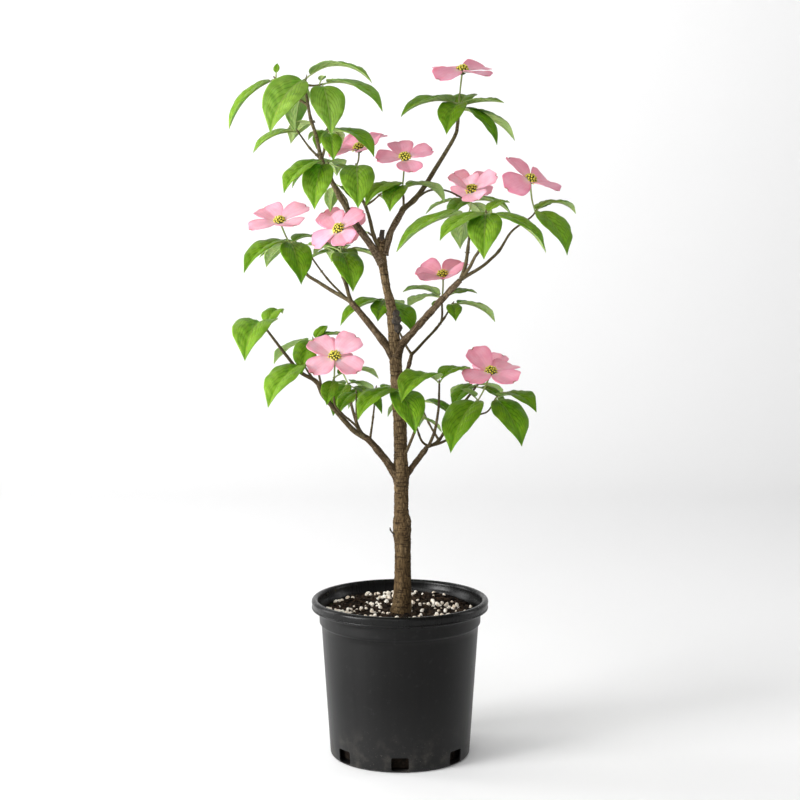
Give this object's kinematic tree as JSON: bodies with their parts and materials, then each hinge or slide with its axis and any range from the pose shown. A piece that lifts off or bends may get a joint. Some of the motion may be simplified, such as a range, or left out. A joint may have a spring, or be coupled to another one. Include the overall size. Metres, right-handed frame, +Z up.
{
  "type": "potted flowering dogwood tree",
  "caption": "Young flowering dogwood with one slender trunk, paired arching limbs, pointed leaves and pink blossom, in a round plastic nursery pot filled with bark mix.",
  "frame": {"origin": "centre of the pot's flat underside, on the surface that it stands on", "axes": "+Z up along the pot's axis, -Y towards the side seen from the front, +X to the right from there"},
  "size_m": [0.508, 0.4078, 1.0468],
  "materials": {
    "black_plastic": "satin black, with fine vertical streaks and soil dust near the foot",
    "potting_mix": "loose dark bark mix with white grains",
    "bark": "rough grey-brown bark",
    "foliage": "soft green leaves and pink bracts"
  },
  "bodies": {
    "root": {"bough_back_left": "bark", "bough_back_right": "bark", "bough_low_back": "bark", "bough_low_left": "bark", "bough_low_right": "bark", "bough_mid_back": "bark", "bough_mid_left": "bark", "bough_mid_right": "bark", "bough_top_left": "bark", "bough_top_right": "bark", "foliage_back_left": "foliage", "foliage_back_right": "foliage", "foliage_centre": "foliage", "foliage_front": "foliage", "foliage_low_back": "foliage", "foliage_low_left": "foliage", "foliage_low_right": "foliage", "foliage_mid_back": "foliage", "foliage_mid_left": "foliage", "foliage_mid_right": "foliage", "foliage_top_left": "foliage", "foliage_top_right": "foliage", "pot": "black_plastic", "soil": "potting_mix", "trunk": "bark"}
  },
  "joints": []
}
